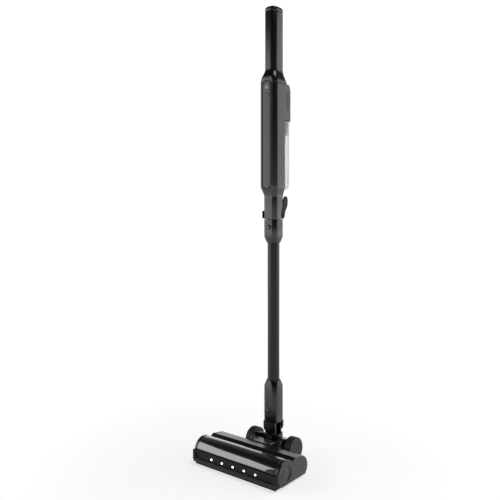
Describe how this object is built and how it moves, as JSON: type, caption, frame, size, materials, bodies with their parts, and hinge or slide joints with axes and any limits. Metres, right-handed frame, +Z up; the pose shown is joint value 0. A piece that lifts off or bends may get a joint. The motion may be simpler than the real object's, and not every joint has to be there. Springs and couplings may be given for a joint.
{
  "type": "cordless stick vacuum",
  "caption": "Slim upright cordless vacuum: wide powered floor nozzle with front lamps and rear wheels, tilting neck, round tube, hand unit with a clear dust cup, and a straight grip.",
  "frame": {"origin": "on the floor, under the middle of the whole object's bounding box", "axes": "+Z up along the stick, -Y to the front, where the nozzle reaches, and +X to the right when the front is looked at"},
  "size_m": [0.25, 0.211, 1.117],
  "materials": {
    "black_plastic": "moulded, satin",
    "satin_plastic": "moulded, satin",
    "gloss_panel": "gloss",
    "grey_trim": "satin",
    "tinted_window": "gloss, smoke tint",
    "lamp_lens": "gloss, white",
    "clear_cup": "clear, gloss",
    "filter_plastic": "frosted",
    "black_tube": "satin black",
    "steel": "brushed",
    "soft_rubber": "matte",
    "tyre_rubber": "matte",
    "bristle": "nylon tufts",
    "circuit": "lacquered",
    "filter_media": "pleated paper",
    "cell_wrap": "shrink wrap"
  },
  "bodies": {
    "nozzle": {"base_housing": "black_plastic", "deck_cover": "satin_plastic", "brush_window": "tinted_window", "front_bumper": "black_plastic", "lamp_board": "circuit", "lamp_lenses": "lamp_lens", "side_cap_left": "black_plastic", "side_cap_right": "black_plastic", "sole_plate": "black_plastic", "front_skirt": "soft_rubber", "sole_screws": "steel", "brush_motor": "steel", "air_duct": "black_plastic", "yoke": "satin_plastic", "axle": "steel", "drive_belt": "soft_rubber"},
    "brush": {"brush_core": "grey_trim", "brush_bristles": "bristle", "brush_pulley": "black_plastic"},
    "motor_shaft": {"motor_pulley": "steel"},
    "brush_cap": {"brush_end_cap": "black_plastic"},
    "left_wheel": {"wheel_left": "black_plastic", "tyre_left": "tyre_rubber"},
    "right_wheel": {"wheel_right": "black_plastic", "tyre_right": "tyre_rubber"},
    "neck": {"neck_barrel": "black_plastic", "neck_pins": "steel", "neck_hose": "soft_rubber"},
    "swivel": {"swivel_socket": "black_plastic", "low_spring": "steel"},
    "low_release": {"low_button": "satin_plastic"},
    "wand": {"tube": "black_tube", "up_coupling": "black_plastic", "up_spring": "steel"},
    "up_release": {"up_button": "satin_plastic"},
    "hand_unit": {"main_shell": "black_plastic", "rear_shell": "black_plastic", "front_panel": "gloss_panel", "panel_trim": "grey_trim", "circuit_board": "circuit", "inlet_duct": "black_plastic", "fan_motor": "steel", "motor_mounts": "soft_rubber", "exhaust_filter": "filter_media", "lever_pins": "steel", "grip_shell": "black_plastic", "charge_socket": "black_plastic"},
    "fan_rotor": {"fan": "grey_trim"},
    "power_key": {"power_button": "grey_trim"},
    "mode_key": {"mode_button": "satin_plastic"},
    "side_key": {"side_button": "satin_plastic"},
    "cup": {"dust_cup": "clear_cup", "filter_frame": "filter_plastic", "fine_filter": "filter_media", "cup_seal": "soft_rubber"},
    "lever": {"cup_lever": "satin_plastic"},
    "battery": {"battery_pack": "black_plastic", "battery_cells": "cell_wrap"},
    "grip_key_left": {"grip_button_left": "satin_plastic"},
    "grip_key_right": {"grip_button_right": "satin_plastic"}
  },
  "joints": [
    {"name": "brush_spin", "type": "hinge", "parent": "nozzle", "child": "brush", "pos_m": [0, -0.0695, 0.027], "axis": [1, 0, 0], "continuous": true},
    {"name": "motor_spin", "type": "hinge", "parent": "nozzle", "child": "motor_shaft", "pos_m": [0, -0.005, 0.024], "axis": [1, 0, 0], "continuous": true},
    {"name": "brush_cap_turn", "type": "hinge", "parent": "nozzle", "child": "brush_cap", "pos_m": [0, -0.0695, 0.027], "axis": [1, 0, 0], "range_deg": [0, 45]},
    {"name": "left_wheel_roll", "type": "hinge", "parent": "nozzle", "child": "left_wheel", "pos_m": [0, 0.0555, 0.0295], "axis": [1, 0, 0], "continuous": true},
    {"name": "right_wheel_roll", "type": "hinge", "parent": "nozzle", "child": "right_wheel", "pos_m": [0, 0.0555, 0.0295], "axis": [1, 0, 0], "continuous": true},
    {"name": "neck_tilt", "type": "hinge", "parent": "nozzle", "child": "neck", "pos_m": [0, 0.0555, 0.0295], "axis": [-1, 0, 0], "range_deg": [0, 80]},
    {"name": "neck_swivel", "type": "hinge", "parent": "neck", "child": "swivel", "pos_m": [0, 0.0555, 0.076], "axis": [0, 1, 0], "range_deg": [-50, 50], "deforming": ["neck_hose"]},
    {"name": "low_release_press", "type": "slide", "parent": "swivel", "child": "low_release", "axis": [0, 1, 0], "range_m": [0, 0.0015], "stiffness_N_per_m": 900, "springref_m": -0.0008, "deforming": ["low_spring"]},
    {"name": "wand_pull", "type": "slide", "parent": "swivel", "child": "wand", "axis": [0, 0, 1], "range_m": [0, 0.03]},
    {"name": "up_release_press", "type": "slide", "parent": "wand", "child": "up_release", "axis": [0, 1, 0], "range_m": [0, 0.0015], "stiffness_N_per_m": 900, "springref_m": -0.0008, "deforming": ["up_spring"]},
    {"name": "hand_unit_pull", "type": "slide", "parent": "wand", "child": "hand_unit", "axis": [0, 0, 1], "range_m": [0, 0.03]},
    {"name": "fan_spin", "type": "hinge", "parent": "hand_unit", "child": "fan_rotor", "pos_m": [0, 0.0765, 0.87], "axis": [0, 0, 1], "continuous": true},
    {"name": "power_press", "type": "slide", "parent": "hand_unit", "child": "power_key", "axis": [0, 1, 0], "range_m": [0, 0.0012], "stiffness_N_per_m": 900, "springref_m": -0.0008},
    {"name": "mode_press", "type": "slide", "parent": "hand_unit", "child": "mode_key", "axis": [0, 1, 0], "range_m": [0, 0.0012], "stiffness_N_per_m": 900, "springref_m": -0.0008},
    {"name": "side_press", "type": "slide", "parent": "hand_unit", "child": "side_key", "axis": [1, 0, 0], "range_m": [0, 0.0012], "stiffness_N_per_m": 900, "springref_m": -0.0008},
    {"name": "cup_draw", "type": "slide", "parent": "hand_unit", "child": "cup", "axis": [0, 1, 0], "range_m": [0, 0.06]},
    {"name": "lever_turn", "type": "hinge", "parent": "hand_unit", "child": "lever", "pos_m": [0, 0.0685, 0.598], "axis": [-1, 0, 0], "range_deg": [0, 12], "stiffness_Nm_per_rad": 0.4, "springref_deg": -11.46},
    {"name": "battery_lift", "type": "slide", "parent": "hand_unit", "child": "battery", "axis": [0, 0, 1], "range_m": [0, 0.12]},
    {"name": "grip_key_left_press", "type": "slide", "parent": "hand_unit", "child": "grip_key_left", "axis": [1, 0, 0], "range_m": [0, 0.0012], "stiffness_N_per_m": 900, "springref_m": -0.0008},
    {"name": "grip_key_right_press", "type": "slide", "parent": "hand_unit", "child": "grip_key_right", "axis": [-1, 0, 0], "range_m": [0, 0.0012], "stiffness_N_per_m": 900, "springref_m": -0.0008}
  ],
  "couplings": [
    {"joint": "motor_spin", "follows": "brush_spin", "ratio": 2.4}
  ]
}
